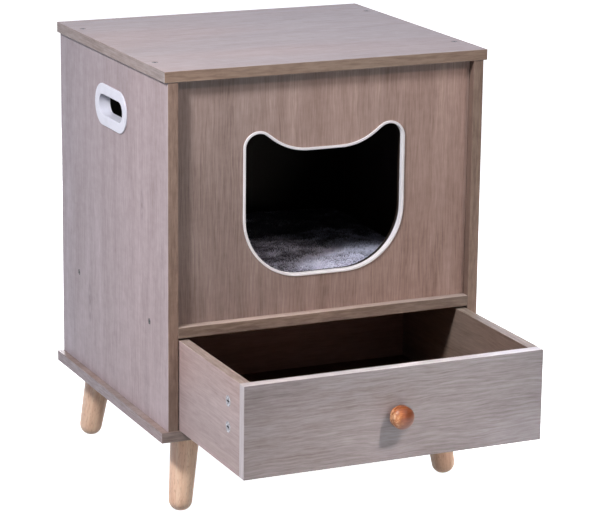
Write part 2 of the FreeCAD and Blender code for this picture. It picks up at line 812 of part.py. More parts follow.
def drawer_back():
    corners = (-drawer_inner, 0, drawer_inner, drawer_height)
    position = (0, drawer_y + drawer_side_length, drawer_z)
    body = board("drawer_back", position, "XZ_Plane", corners, size.drawer_board, True)
    groove(body, "bottom_groove", "XZ_Plane", 0, (-drawer_inner, bottom_low, drawer_inner, bottom_high),
           size.drawer_groove)
    heights = (size.drawer_screw_low, size.drawer_screw_low + size.drawer_screw_pitch)
    bite = size.screw_length - size.drawer_board + size.screw_sink + size.hole_spare
    for side, name in ((-1, "left"), (1, "right")):
        spots = [(size.drawer_board / 2, z) for z in heights]
        drill(body, f"{name}_screws", "YZ_Plane", side * drawer_inner, spots, screw_hole, bite, side < 0)


def drawer_bottom():
    reach = size.drawer_groove - size.groove_gap
    position = (0, drawer_y + size.drawer_board, drawer_z + size.drawer_bottom_lift)
    body = new_piece("drawer_bottom", position)
    sketch = new_sketch(body, "outline", "XY_Plane")
    rear = drawer_side_length - size.drawer_board + reach
    draw_rectangle(sketch, -drawer_inner - reach, -reach, drawer_inner + reach, rear)
    pad(body, "sheet", sketch, size.drawer_bottom_thickness)


def drawer_cam_nuts():
    position = (0, drawer_y + size.drawer_board, drawer_z)
    body = new_piece("drawer_cam_nuts", position, solids=4)
    radius = size.cam_diameter / 2
    face = shift_to("YZ_Plane", -drawer_half, size.cam_distance, size.cam_low)
    disc = new_sketch(body, "disc", "YZ_Plane", face)
    draw_circles(disc, [(0, 0)], radius)
    pad(body, "disc", disc, cam_depth)
    throat = new_sketch(body, "throat", "XZ_Plane",
                        shift_to("XZ_Plane", -drawer_side_middle, size.cam_distance - radius, size.cam_low))
    draw_circles(throat, [(0, 0)], size.cam_bolt_head / 2 + size.cam_gap)
    pocket(body, "throat", throat, radius + size.cam_head_reach + size.cam_gap)
    recess = new_sketch(body, "recess", "YZ_Plane", face)
    draw_cross(recess, size.cam_recess_span, size.cam_recess_slot)
    pocket(body, "recess", recess, size.cam_recess_depth, reverse=True)
    second_row(body, size.cam_pitch)
    mirror(body, "YZ_Plane")


def drawer_cam_bolts():
    position = (0, drawer_y + size.drawer_board, drawer_z)
    body = new_piece("drawer_cam_bolts", position, solids=4)
    thread = size.cam_bolt_thread / 2
    shank = size.cam_bolt_shank / 2
    head = size.cam_bolt_head / 2
    head_start = size.cam_distance - size.cam_head_reach
    head_end = size.cam_distance + size.cam_head_reach
    profile = [
        (0, -size.cam_bolt_in_front),
        (thread, -size.cam_bolt_in_front),
        (thread, 0),
        (shank, 0),
        (shank, head_start),
        (head, head_start),
        (head, head_end),
        (0, head_end),
    ]
    spin(body, "bolt", "XY_Plane", (-drawer_side_middle, 0, size.cam_low), "V_Axis", profile)
    second_row(body, size.cam_pitch)
    mirror(body, "YZ_Plane")


def drawer_back_screws():
    body = new_piece("drawer_back_screws", (0, drawer_y + size.drawer_board, drawer_z), solids=4)
    one_screw(body, size.screw_sink - drawer_half, drawer_screw_y, size.drawer_screw_low, "H_Axis", 1)
    second_row(body, size.drawer_screw_pitch)
    mirror(body, "YZ_Plane")


def drawer_knob():
    body = new_piece("drawer_knob", (0, drawer_y, drawer_z + drawer_height / 2))
    radius = size.knob_diameter / 2
    foot = size.knob_foot_diameter / 2
    valley = radius - size.knob_groove
    out = size.knob_foot_length + size.knob_shoulder + 2 * (size.knob_band + size.knob_groove)
    rise = size.knob_dome
    profile = [(0, -out - rise), (radius, -out)]
    for band in range(2):
        profile.append((valley, -out))
        out = out - size.knob_groove
        profile.append((valley, -out))
        profile.append((radius, -out))
        out = out - size.knob_band
        profile.append((radius, -out))
    profile += [(foot, -size.knob_foot_length), (foot, 0), (0, 0)]
    dome = {0: (radius * radius + rise * rise) / (2 * rise)}
    spin(body, "turned", "XY_Plane", (0, 0, 0), "V_Axis", profile, dome)
    hole = size.knob_screw_diameter / 2 + size.fit_gap
    depth = size.knob_screw_in_knob + size.hole_spare
    drill(body, "bore", "XZ_Plane", 0, [(0, 0)], hole, depth, reverse=True)


def drawer_knob_screw():
    body = new_piece("drawer_knob_screw", (0, drawer_y, drawer_z + drawer_height / 2))
    shank = size.knob_screw_diameter / 2
    head = size.knob_screw_head / 2
    seat = size.drawer_board
    top = seat + size.knob_screw_head_height
    profile = [
        (0, -size.knob_screw_in_knob),
        (shank, -size.knob_screw_in_knob),
        (shank, seat),
        (head, seat),
        (head, top),
        (0, top),
    ]
    spin(body, "screw", "XY_Plane", (0, 0, 0), "V_Axis", profile)


# The assembly

top_panel()
base_panel()
shelf_panel()
for side, name in ((-1, "left"), (1, "right")):
    side_panel(f"{name}_side_panel", side)
    handle_grommet(f"{name}_handle_grommet", side)
    drawer_side(f"drawer_{name}_side", side)
    for end, place_name in ((-1, "front"), (1, "rear")):
        leg(f"{place_name}_{name}_leg", side, end)
front_panel()
back_panel()
opening_trim()
leg_bolts()
leg_inserts()
top_head = side_top + size.board_thickness - size.screw_sink
board_screws("top_screws", top_screw_x, top_head, "V_Axis", -1)
board_screws("base_screws", side_middle, size.leg_height + size.screw_sink, "V_Axis", 1)
shelf_middle = shelf_under + half_board
board_screws("shelf_screws", size.screw_sink - size.cabinet_width / 2, shelf_middle, "H_Axis", 1)
board_dowels("top_dowels", side_middle, side_top, "V_Axis", -size.dowel_in_edge, size.dowel_in_face)
board_dowels("base_dowels", side_middle, base_top, "V_Axis", -size.dowel_in_face, size.dowel_in_edge)
board_dowels("shelf_dowels", -half_inner, shelf_middle, "H_Axis", -size.dowel_in_face, size.dowel_in_edge)
front_panel_dowels()
plush_pad()
drawer_front()
drawer_back()
drawer_bottom()
drawer_cam_nuts()
drawer_cam_bolts()
drawer_back_screws()
drawer_knob()
drawer_knob_screw()
doc.recompute()

# Checks before anything is written
for item in doc.Objects:
    if "Invalid" in item.State or "Error" in item.State:
        raise RuntimeError(f"{item.Label} failed: {item.State}")
for feature in cuts:
    if feature.Shape.Volume >= feature.BaseFeature.Shape.Volume:
        raise RuntimeError(f"{feature.Label} cuts nothing")
for body, solids in pieces:
    shape = body.Shape
    if shape.isNull() or not shape.isValid() or len(shape.Solids) != solids:
        raise RuntimeError(f"{body.Label} is not {solids} valid solids")

os.makedirs("parts", exist_ok=True)
for body, solids in pieces:
    body.Shape.exportStep(f"parts/{body.Label}.step")
    print(f"{body.Label}: {solids} solid(s), {body.Shape.Volume / 1000:.1f} cm3")
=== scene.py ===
import math

import bmesh
import bpy
from mathutils import Matrix, Vector, noise


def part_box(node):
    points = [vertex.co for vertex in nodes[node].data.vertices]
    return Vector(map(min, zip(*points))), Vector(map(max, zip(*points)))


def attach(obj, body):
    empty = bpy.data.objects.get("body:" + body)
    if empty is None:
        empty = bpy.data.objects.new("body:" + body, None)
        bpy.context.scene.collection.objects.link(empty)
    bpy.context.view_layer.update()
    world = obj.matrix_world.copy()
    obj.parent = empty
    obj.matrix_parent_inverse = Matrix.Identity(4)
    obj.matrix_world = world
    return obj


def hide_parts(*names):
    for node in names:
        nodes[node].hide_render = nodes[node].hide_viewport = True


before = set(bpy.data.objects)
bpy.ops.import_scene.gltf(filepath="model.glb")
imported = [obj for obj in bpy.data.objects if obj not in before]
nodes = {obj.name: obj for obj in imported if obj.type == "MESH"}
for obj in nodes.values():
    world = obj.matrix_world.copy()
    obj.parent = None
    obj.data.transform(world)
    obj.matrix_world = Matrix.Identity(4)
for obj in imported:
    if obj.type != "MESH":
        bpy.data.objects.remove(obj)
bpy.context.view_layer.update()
scene = bpy.context.scene
print("frame loaded:", len(nodes), "nodes")


# small helpers for node trees

steep = 0.5  # a face points along an axis when its normal has more than this on it


def shade(red, green, blue):  # a screen colour, 0 to 255, as linear RGBA
    def straight(level):
        level = level / 255
        return level / 12.92 if level <= 0.04045 else ((level + 0.055) / 1.055) ** 2.4
    return (straight(red), straight(green), straight(blue), 1.0)


def solid(tint):  # a linear tint as RGBA
    return (*tint, 1.0)


def addNode(tree, kind, inputs=None, **settings):
    made = tree.nodes.new(kind)
    for name, value in settings.items():
        setattr(made, name, value)
    for name, value in (inputs or {}).items():
        if isinstance(value, bpy.types.NodeSocket):
            tree.links.new(value, made.inputs[name])
        else:
            made.inputs[name].default_value = value
    return made


def calc(tree, operation, first, second=0.0):
    return addNode(tree, "ShaderNodeMath", {0: first, 1: second}, operation=operation).outputs[0]


def vectorCalc(tree, operation, first, second):
    return addNode(tree, "ShaderNodeVectorMath", {0: first, 1: second}, operation=operation).outputs[0]


def lengthOf(tree, vector):
    return addNode(tree, "ShaderNodeVectorMath", {0: vector}, operation="LENGTH").outputs["Value"]


def parted(tree, vector):
    return addNode(tree, "ShaderNodeSeparateXYZ", {0: vector}).outputs


def joined(tree, x=0.0, y=0.0, z=0.0):
    return addNode(tree, "ShaderNodeCombineXYZ", {0: x, 1: y, 2: z}).outputs[0]


def facing(tree):  # the face's normal on each axis
    return parted(tree, addNode(tree, "ShaderNodeNewGeometry").outputs["True Normal"])


def mixed(tree, share, first, second):  # share of the first and the rest of the second
    return calc(tree, "ADD", calc(tree, "MULTIPLY", first, share), calc(tree, "MULTIPLY", second, 1 - share))


def weighed(tree, share, weight):  # centres a 0 to 1 share on 0 and scales it
    return calc(tree, "MULTIPLY", calc(tree, "SUBTRACT", share, 0.5), weight)


def cloud(tree, vector, stretch, detail=2.0, roughness=0.5):  # noise, stretch is blobs per metre in all or by axis
    stretch = stretch if isinstance(stretch, tuple) else (stretch, stretch, stretch)
    stretched = vectorCalc(tree, "MULTIPLY", vector, stretch)
    inputs = {"Vector": stretched, "Scale": 1.0, "Detail": detail, "Roughness": roughness}
    return addNode(tree, "ShaderNodeTexNoise", inputs).outputs[0]


def ease(tree, value, low, high, toLow=0.0, toHigh=1.0):
    inputs = {"Value": value, "From Min": low, "From Max": high, "To Min": toLow, "To Max": toHigh}
    return addNode(tree, "ShaderNodeMapRange", inputs, interpolation_type="SMOOTHSTEP").outputs[0]


def evened(tree, value, toLow=0.0, toHigh=1.0):  # spreads out the range in which most of a noise lies
    return ease(tree, value, 0.3, 0.7, toLow, toHigh)


def blendColours(tree, factor, first, second, way="MIX"):
    inputs = {0: factor, 6: first, 7: second}
    return addNode(tree, "ShaderNodeMix", inputs, data_type="RGBA", blend_type=way).outputs[2]


def tinted(tree, colour, tint):
    return blendColours(tree, 1.0, colour, tint, "MULTIPLY")


def ramp(tree, factor, stops):
    made = addNode(tree, "ShaderNodeValToRGB", {0: factor})
    elements = made.color_ramp.elements
    for index, (spot, colour) in enumerate(stops):
        element = elements[index] if index < 2 else elements.new(spot)
        element.position = spot
        element.color = colour
    return made.outputs[0]


def bump(tree, height, distance, strength):
    inputs = {"Height": height, "Distance": distance, "Strength": strength}
    return addNode(tree, "ShaderNodeBump", inputs).outputs[0]


def newFinish(name, fixed):  # a material, its tree, its shader and the piece's own coordinates
    finish = bpy.data.materials.new(name)
    finish.use_nodes = True
    tree = finish.node_tree
    skin = tree.nodes["Principled BSDF"]
    for socket, value in fixed.items():
        skin.inputs[socket].default_value = value
    spot = addNode(tree, "ShaderNodeTexCoord").outputs["Object"]
    return finish, tree, skin, spot


def dress(tree, skin, colour, roughness, normal):
    tree.links.new(colour, skin.inputs["Base Color"])
    tree.links.new(roughness, skin.inputs["Roughness"])
    tree.links.new(normal, skin.inputs["Normal"])


def putOn(name, finish):
    mesh = nodes[name].data
    mesh.materials.clear()
    mesh.materials.append(finish)


# In the dictionaries below, "shader" holds the shader's fixed values, "rough" the roughness at a noise's low and high
# end and "relief" the depth and strength of the bump. A noise is its blobs per metre, detail and roughness, and names
# with Edges are the range that is eased, then what it is eased to where that isn't 0 to 1.

# grey oak boards

oak = {
    "shader": {"Specular IOR Level": 0.3},
    "rough": (0.6, 0.45),
    "relief": (0.0003, 0.35),
    "fibreRelief": 0.4,  # share of the pores' depth
    "tones": [(0.0, shade(138, 122, 116)), (0.35, shade(171, 158, 153)),
              (0.65, shade(188, 176, 172)), (1.0, shade(208, 198, 194))],
    "tone": 0.52,  # before the figure
    "warm": (1.05, 0.97, 0.93),
    # pale board edges: painted highlight along the edges, with rubbed wear
    "wornHighlight": shade(222, 214, 208),
    "wearHighlightWidth": 0.0009,
    "wearHighlightEdges": (0.45, 0.6, 0.0, 0.35),
    "seedWay": (1.0, 0.7, 0.3),
    # noises of the figure, with their blobs along and across the grain
    "waves": (1 / 0.09, 1.6 / 0.09, 2.0, 0.5),
    "streaks": (3.2, 46, 4.0, 0.6),
    "lines": (7, 340, 2.0, 0.5),
    "lineEdges": (0.35, 0.65),
    "fibres": (24, 900, 3.0, 0.65),
    "fibreWeight": 0.14,
    "rings": (1.8, 7, 1.0, 0.5),
    "ringCount": 40.0,
    "chatter": (100, 60, 4.0, 0.6),
    "patches": (2.2, 7, 1.0, 0.5),
    "patchEdges": (0.35, 0.65),
    "dashDetail": (3.0, 0.6),
    "dashEdges": (0.32, 0.68),
    "poreEdges": (0.56, 0.68),
    "knot": shade(92, 76, 70),
    "knotNarrow": 4.0,  # times as long as wide
    "knotBlur": (90, 260, 2.0, 0.5),
    "knotBlurWeight": 0.9,
    "eyeEdges": (0.55, 0.05, 0.0, 0.75),
    "ringInnerEdges": (0.7, 1.0),
    "ringOuterEdges": (1.6, 1.0, 0.0, 0.22),
    "doorSlack": 0.0001,
}
# seed shifts the figure; the face, inside and rim tints colour the outer face, the face towards the inside and the edge
# bands, the end tint the bands across the grain; the inside tint is painted shade, dark where the inside lies in
# shadow, and the reveal tint is painted shade on the inward face before the doorway; streak, dash, lines, rings and
# chatter weigh the parts of the figure, rimDash adds dashes on the edge bands, sway bends the grain and dashSize is
# dashes per metre along and across it; warmth makes one side warmer, patch mottles it, the slant is painted light that
# brightens it to the right, the fade is painted light and shade that darkens the lower end, and the rim fade does that
# for the edge bands; a knot is its place along and across the grain from the middle, and its length
plainBoard = {
    "inner": (0.13, 0.11, 0.11),
    "streak": 0.25, "dash": 0.25, "rimDash": 0.25, "lines": 0.1, "rings": 0.1, "chatter": 0.04,
    "sway": 0.006, "dashSize": (40, 300),
    "warmth": 0.0, "patch": 1.0, "lightSlant": 0.0, "shadeFade": 0.0, "knots": [],
}
boards = {  # where they differ from a plain one
    "top_panel": {
        "grain": "X", "seed": 1.0, "sway": 0.004,
        "face": (0.68, 0.632, 0.623), "rim": (0.634, 0.538, 0.437), "end": (0.582, 0.585, 0.593),
        "streak": 0.11, "dash": 0.14, "lines": 0.06, "rings": 0.06, "chatter": 0.06,
        "knots": [(0.09, 0.11, 0.012)],
    },
    "base_panel": {
        "grain": "X", "seed": 2.3, "sway": 0.005,
        "face": (0.7, 0.65, 0.63), "inner": (0.7, 0.65, 0.63), "rim": (0.539, 0.514, 0.507), "end": (0.7, 0.67, 0.73),
        "dash": 0.2, "lines": 0.08,
    },
    "shelf_panel": {
        "grain": "X", "seed": 3.7, "sway": 0.005,
        "face": (0.82, 0.79, 0.75), "inner": (0.4, 0.34, 0.32), "rim": (0.438, 0.385, 0.328),
    },
    "left_side_panel": {
        "grain": "Z", "seed": 4.1,
        "face": (0.835, 0.828, 0.927), "rim": (0.495, 0.414, 0.35), "revealShade": (0.36, 0.3, 0.26),
        "streak": 0.18, "dash": 0.17, "lines": 0.08, "chatter": 0.14,
        "warmth": -1.3, "patch": 0.4, "shadeFade": -0.12, "rimShadeFade": 0.16,
        "knots": [(0.055, -0.115, 0.016), (-0.135, 0.095, 0.022)],
    },
    "right_side_panel": {
        "grain": "Z", "seed": 5.9,
        "face": (0.84, 0.8, 0.85), "rim": (0.553, 0.484, 0.41), "revealShade": (0.36, 0.3, 0.26),
        "streak": 0.18, "dash": 0.17, "lines": 0.08, "chatter": 0.14,
        "warmth": -1.3, "patch": 0.4,
        "knots": [(-0.04, 0.08, 0.018), (0.15, -0.1, 0.014)],
    },
    "front_panel": {
        "grain": "Z", "seed": 6.2, "sway": 0.007,
        # the rim tint here is painted shade: the opening's cut edge is made near black, for the shadow between the trim
        # and the pad
        "face": (0.708, 0.602, 0.562), "rim": (0.05, 0.04, 0.035),
        "streak": 0.3, "dash": 0.3, "lines": 0.13, "rings": 0.18, "chatter": 0.1, "dashSize": (30, 420),
        "warmth": 1.1, "patch": 0.3, "lightSlant": 0.17, "shadeFade": 0.2,
    },
    "drawer_front": {
        "grain": "X", "seed": 7.4, "sway": 0.012,
        "face": (0.645, 0.68, 0.745), "inner": (0.5, 0.41, 0.38), "rim": (1.4, 1.58, 1.74),
        "streak": 0.12, "dash": 0.34, "rimDash": -0.22, "lines": 0.16, "rings": 0.12, "dashSize": (40, 520),
        "warmth": -1.1, "patch": 0.3, "lightSlant": 0.16, "shadeFade": -0.09,
    },
    "drawer_left_side": {
        "grain": "Y", "seed": 8.8,
        "face": (0.913, 0.823, 0.831), "inner": (0.5, 0.4, 0.37), "rim": (0.62, 0.6, 0.57),
        "streak": 0.2, "dash": 0.16, "lines": 0.08, "rings": 0.08, "chatter": 0.06,
    },
    "drawer_right_side": {
        "grain": "Y", "seed": 9.5,
        "face": (0.8, 0.73, 0.72), "inner": (0.418, 0.365, 0.31), "rim": (0.57, 0.57, 0.515),
    },
    "drawer_back": {
        "grain": "X", "seed": 10.6,
        "face": (0.8, 0.7, 0.66), "inner": (0.6, 0.46, 0.42), "rim": (0.85, 0.72, 0.6),
    },
}


def middle(name):
    low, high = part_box(name)
    return (low + high) / 2


def grainCloud(tree, grain, along, across, detail, roughness):
    return cloud(tree, grain, (along, across, across), detail, roughness)


def oakTone(tree, grain, onRim, look):  # the figure's tone, 0 to 1, and the noises that the surface needs again
    streak = grainCloud(tree, grain, *oak["streaks"])
    dash = grainCloud(tree, grain, *look["dashSize"], *oak["dashDetail"])
    lines = grainCloud(tree, grain, *oak["lines"])
    fibre = grainCloud(tree, grain, *oak["fibres"])
    rings = calc(tree, "MULTIPLY", grainCloud(tree, grain, *oak["rings"]), oak["ringCount"])
    rings = ease(tree, calc(tree, "SINE", rings), -1.0, 1.0)  # contour lines of a slow field
    chatter = grainCloud(tree, grain, *oak["chatter"])
    dashWeight = calc(tree, "SUBTRACT", calc(tree, "MULTIPLY", onRim, -look["rimDash"]), look["dash"])
    tone = oak["tone"]
    for share, weight in (
        (evened(tree, streak), look["streak"]),
        (ease(tree, dash, *oak["dashEdges"]), dashWeight),
        (evened(tree, fibre), oak["fibreWeight"]),
        (ease(tree, lines, *oak["lineEdges"]), look["lines"]),
        (rings, look["rings"]),
        (evened(tree, chatter), look["chatter"]),
    ):
        tone = calc(tree, "ADD", tone, weighed(tree, share, weight))
    return tone, streak, dash, fibre


def oakShift(tree, colour, grain, place, half, onRim, look):  # warm and cool patches, lighter and darker ends
    wide = 0 if half.x > half.y else 1
    aside = calc(tree, "MULTIPLY", place[wide], look["warmth"] / (2 * half[wide]))
    patch = ease(tree, grainCloud(tree, grain, *oak["patches"]), *oak["patchEdges"])
    patch = calc(tree, "ADD", calc(tree, "ADD", weighed(tree, patch, look["patch"]), 0.5), aside)
    colour = blendColours(tree, patch, colour, tinted(tree, colour, solid(oak["warm"])))
    # painted light and shade: the fade darkens one end of the board, the rim fade does the same for its edge bands, and
    # the slant brightens the board towards the right
    shadeFade = calc(tree, "MULTIPLY", onRim, look.get("rimShadeFade", look["shadeFade"]) - look["shadeFade"])
    shadeFade = calc(tree, "MULTIPLY", calc(tree, "ADD", shadeFade, look["shadeFade"]), 1 / half.z)
    rise = calc(tree, "ADD", calc(tree, "MULTIPLY", place[2], shadeFade), 1.0)
    rise = calc(tree, "ADD", rise, calc(tree, "MULTIPLY", place[0], look["lightSlant"] / half.x))
    return tinted(tree, colour, joined(tree, rise, rise, rise))


def knotShade(tree, place, knots):  # dark eyes with a faint ring, longer along the grain
    total = None
    for along, across, length in knots:
        offset = vectorCalc(tree, "SUBTRACT", place, (along, across, 0.0))
        offset = vectorCalc(tree, "MULTIPLY", offset, (1 / length, oak["knotNarrow"] / length, 0.0))
        blur = weighed(tree, grainCloud(tree, place, *oak["knotBlur"]), oak["knotBlurWeight"])
        reach = calc(tree, "ADD", lengthOf(tree, offset), blur)
        eye = ease(tree, reach, *oak["eyeEdges"])
        ringInner = ease(tree, reach, *oak["ringInnerEdges"])
        ring = calc(tree, "MULTIPLY", ringInner, ease(tree, reach, *oak["ringOuterEdges"]))
        both = calc(tree, "ADD", eye, ring)
        total = both if total is None else calc(tree, "MAXIMUM", total, both)
    return total


def oakTint(tree, name, spot, thin, normal, onEnd, onRim, look):  # tells faces, edge bands and the inside apart
    inDrawer = name.startswith("drawer")
    heart = middle("drawer_bottom") if inDrawer else middle("left_side_panel") * Vector((0, 1, 1))
    inward = calc(tree, "MULTIPLY", normal[thin], math.copysign(1.0, heart[thin] - middle(name)[thin]))
    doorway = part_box("drawer_front" if inDrawer else "front_panel")[0].y  # what lies before it counts as outside
    within = calc(tree, "GREATER_THAN", parted(tree, spot)[1], doorway + oak["doorSlack"])
    # painted shade: inward faces behind the doorway take the dark inside tint, and those before it take the reveal tint
    insideShade = blendColours(tree, within, solid(look.get("revealShade", look["face"])), solid(look["inner"]))
    plain = blendColours(tree, calc(tree, "GREATER_THAN", inward, steep), solid(look["face"]), insideShade)
    band = blendColours(tree, onEnd, solid(look["rim"]), solid(look.get("end", look["rim"])))
    return blendColours(tree, onRim, plain, band)


def oakWearAndHighlight(tree, place, half, streak):  # where the board's edges are paler: painted highlight along them, with rubbed wear
    room = [calc(tree, "SUBTRACT", half[axis], calc(tree, "ABSOLUTE", place[axis])) for axis in range(3)]
    nearest = calc(tree, "MINIMUM", room[0], room[1])
    second = calc(tree, "MINIMUM", calc(tree, "MAXIMUM", room[0], room[1]), room[2])
    fromEdge = calc(tree, "MAXIMUM", nearest, second)
    rubbedAndLit = ease(tree, fromEdge, oak["wearHighlightWidth"], 0.0)
    return calc(tree, "MULTIPLY", rubbedAndLit, ease(tree, streak, *oak["wearHighlightEdges"]))


def oakBoard(name, look):
    centre = middle(name)
    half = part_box(name)[1] - centre
    along = "XYZ".index(look["grain"])
    thin = min(range(3), key=lambda axis: half[axis])
    across = 3 - along - thin
    finish, tree, skin, spot = newFinish("greyOak." + name, oak["shader"])
    place = parted(tree, vectorCalc(tree, "SUBTRACT", spot, centre))
    normal = facing(tree)
    onEnd = calc(tree, "GREATER_THAN", calc(tree, "ABSOLUTE", normal[along]), steep)
    onRim = calc(tree, "LESS_THAN", calc(tree, "ABSOLUTE", normal[thin]), steep)
    onFace = joined(tree, place[along], place[across], place[thin])
    onEdge = joined(tree, place[across], place[thin], place[along])  # the edge band runs along the edge
    grain = addNode(tree, "ShaderNodeMix", {0: onEnd, 4: onFace, 5: onEdge}, data_type="VECTOR").outputs[1]
    grain = vectorCalc(tree, "ADD", grain, tuple(look["seed"] * way for way in oak["seedWay"]))
    wander = weighed(tree, grainCloud(tree, grain, *oak["waves"]), look["sway"])
    grain = vectorCalc(tree, "ADD", grain, joined(tree, 0.0, wander, 0.0))
    tone, streak, dash, fibre = oakTone(tree, grain, onRim, look)
    colour = oakShift(tree, ramp(tree, tone, oak["tones"]), grain, place, half, onRim, look)
    if look["knots"]:
        colour = blendColours(tree, knotShade(tree, onFace, look["knots"]), colour, oak["knot"])
    colour = tinted(tree, colour, oakTint(tree, name, spot, thin, normal, onEnd, onRim, look))
    # painted highlight with wear: the board's edges are paled
    colour = blendColours(tree, oakWearAndHighlight(tree, place, half, streak), colour, oak["wornHighlight"])
    pore = ease(tree, dash, *oak["poreEdges"])
    height = calc(tree, "SUBTRACT", calc(tree, "MULTIPLY", fibre, oak["fibreRelief"]), pore)
    dress(tree, skin, colour, evened(tree, fibre, *oak["rough"]), bump(tree, height, *oak["relief"]))
    putOn(name, finish)


for boardName, boardLook in boards.items():
    oakBoard(boardName, {**plainBoard, **boardLook})
print("oak boards dressed:", len(boards))


# thin hardboard sheets, near black on the side that faces the front: painted shade for the dark inside of the cabinet

hardboard = {
    "shader": {"Specular IOR Level": 0.25},
    "rough": (0.75, 0.6),
    "relief": (0.0004, 0.35),
    "light": shade(104, 76, 58),
    "dark": shade(74, 52, 40),
    "fleck": shade(52, 36, 28),
    "shadedFront": shade(34, 28, 26),
    "pulp": (520, 5.0, 0.7),
    "mottle": (24, 3.0),
    "mottleEdges": (0.5, 0.8, 0.0, 0.35),
    "flecks": (900, 1.0),
    "fleckEdges": (0.66, 0.72, 0.0, 0.6),
}


def hardboardFinish():
    finish, tree, skin, spot = newFinish("hardboard", hardboard["shader"])
    pulp = cloud(tree, spot, *hardboard["pulp"])
    mottle = ease(tree, cloud(tree, spot, *hardboard["mottle"]), *hardboard["mottleEdges"])
    fleck = ease(tree, cloud(tree, spot, *hardboard["flecks"]), *hardboard["fleckEdges"])
    colour = ramp(tree, evened(tree, pulp), [(0.0, hardboard["dark"]), (1.0, hardboard["light"])])
    colour = blendColours(tree, mottle, colour, hardboard["dark"])
    colour = blendColours(tree, fleck, colour, hardboard["fleck"])
    # painted shade: the faces that point to the front are made near black, as the inside lies in shadow
    shadedSide = calc(tree, "LESS_THAN", facing(tree)[1], -steep)
    colour = blendColours(tree, shadedSide, colour, hardboard["shadedFront"])
    dress(tree, skin, colour, evened(tree, pulp, *hardboard["rough"]), bump(tree, pulp, *hardboard["relief"]))
    return finish


sheetFinish = hardboardFinish()
for sheetName in ("back_panel", "drawer_bottom"):
    putOn(sheetName, sheetFinish)


# white moulded plastic of the trim and grommets

plastic = {
    "shader": {"Specular IOR Level": 0.45, "Subsurface Weight": 0.35, "Subsurface Scale": 0.003,
               "Subsurface Radius": (1.0, 1.0, 1.0)},
    "rough": (0.3, 0.42),
    "relief": (0.00005, 0.25),
    "trim": [(0.0, shade(242, 238, 241)), (1.0, shade(236, 232, 234))],
    "grommet": [(0.0, shade(219, 219, 229)), (1.0, shade(212, 212, 221))],
    "grain": (1 / 0.0006, 2.0),
    "smudge": (38, 3.0),
    "smudgeEdges": (0.35, 0.75),
}


def plasticFinish(kind):
    finish, tree, skin, spot = newFinish("whitePlastic." + kind, plastic["shader"])
    grain = cloud(tree, spot, *plastic["grain"])
    smudge = cloud(tree, spot, *plastic["smudge"])
    colour = ramp(tree, ease(tree, smudge, *plastic["smudgeEdges"]), plastic[kind])
    dress(tree, skin, colour, evened(tree, smudge, *plastic["rough"]), bump(tree, grain, *plastic["relief"]))
    return finish


putOn("opening_trim", plasticFinish("trim"))
grommetFinish = plasticFinish("grommet")
for grommetName in ("left_handle_grommet", "right_handle_grommet"):
    putOn(grommetName, grommetFinish)
print("sheets and plastic dressed")


# turned beech legs and dowels

beech = {
    "shader": {"Specular IOR Level": 0.4, "Coat Weight": 0.15, "Coat Roughness": 0.35},
    "rough": (0.5, 0.36),
    "relief": (0.0002, 0.2),
    "tones": [(0.0, shade(222, 176, 145)), (0.5, shade(240, 199, 168)), (1.0, shade(247, 218, 192))],
    "toneEdges": (0.32, 0.68),
    "fleck": shade(198, 148, 118),
    "streaks": ((75, 75, 5), 4.0, 0.6),
    "streakShare": 0.65,
    "fibres": ((620, 620, 26), 3.0, 0.6),
    "flecks": ((850, 850, 170), 0.0),
    "fleckEdges": (0.62, 0.72, 0.0, 0.45),
    "lean": 10.2,  # degrees from upright
    "dowels": {"top_dowels": (0, 0, 1), "base_dowels": (0, 0, 1), "shelf_dowels": (1, 0, 0),
               "front_panel_dowels": (0, 0, 1)},
}


def beechFinish(name, axis):  # the grain follows the axis of the turned piece
    finish, tree, skin, spot = newFinish("beech." + name, beech["shader"])
    turn = axis.rotation_difference(Vector((0, 0, 1))).to_euler()
    grain = addNode(tree, "ShaderNodeMapping", {"Vector": spot, "Rotation": turn}).outputs[0]
    fibre = cloud(tree, grain, *beech["fibres"])
    tone = mixed(tree, beech["streakShare"], cloud(tree, grain, *beech["streaks"]), fibre)
    fleck = ease(tree, cloud(tree, grain, *beech["flecks"]), *beech["fleckEdges"])
    colour = ramp(tree, ease(tree, tone, *beech["toneEdges"]), beech["tones"])
    colour = blendColours(tree, fleck, colour, beech["fleck"])
    dress(tree, skin, colour, evened(tree, fibre, *beech["rough"]), bump(tree, fibre, *beech["relief"]))
    return finish


for endName, end in (("front", -1), ("rear", 1)):
    for sideName, side in (("left", -1), ("right", 1)):
        splay = math.sin(math.radians(beech["lean"])) / math.sqrt(2)
        legAxis = Vector((-side * splay, -end * splay, math.cos(math.radians(beech["lean"]))))
        legName = f"{endName}_{sideName}_leg"
        putOn(legName, beechFinish(legName, legAxis))
for dowelName, dowelAxis in beech["dowels"].items():
    putOn(dowelName, beechFinish(dowelName, Vector(dowelAxis)))


# varnished knob

knob = {
    "shader": {"Specular IOR Level": 0.4, "Coat Weight": 0.3, "Coat Roughness": 0.5},
    "rough": (0.42, 0.3),
    "relief": (0.0001, 0.15),
    "tones": [(0.0, shade(104, 47, 12)), (0.45, shade(134, 67, 26)),
              (0.75, shade(171, 106, 60)), (1.0, shade(236, 188, 148))],
    "dark": shade(118, 60, 30),
    "streaks": ((40, 240, 300), 3.0, 0.55),
    "streakShare": 0.35,
    "flecks": ((240, 1300, 1500), 0.0),
    "fleckEdges": (0.6, 0.7, 0.0, 0.35),
    "litSideEdges": (0.003, -0.016),  # along X, from the shaded side to the lit side: painted light and shade
}


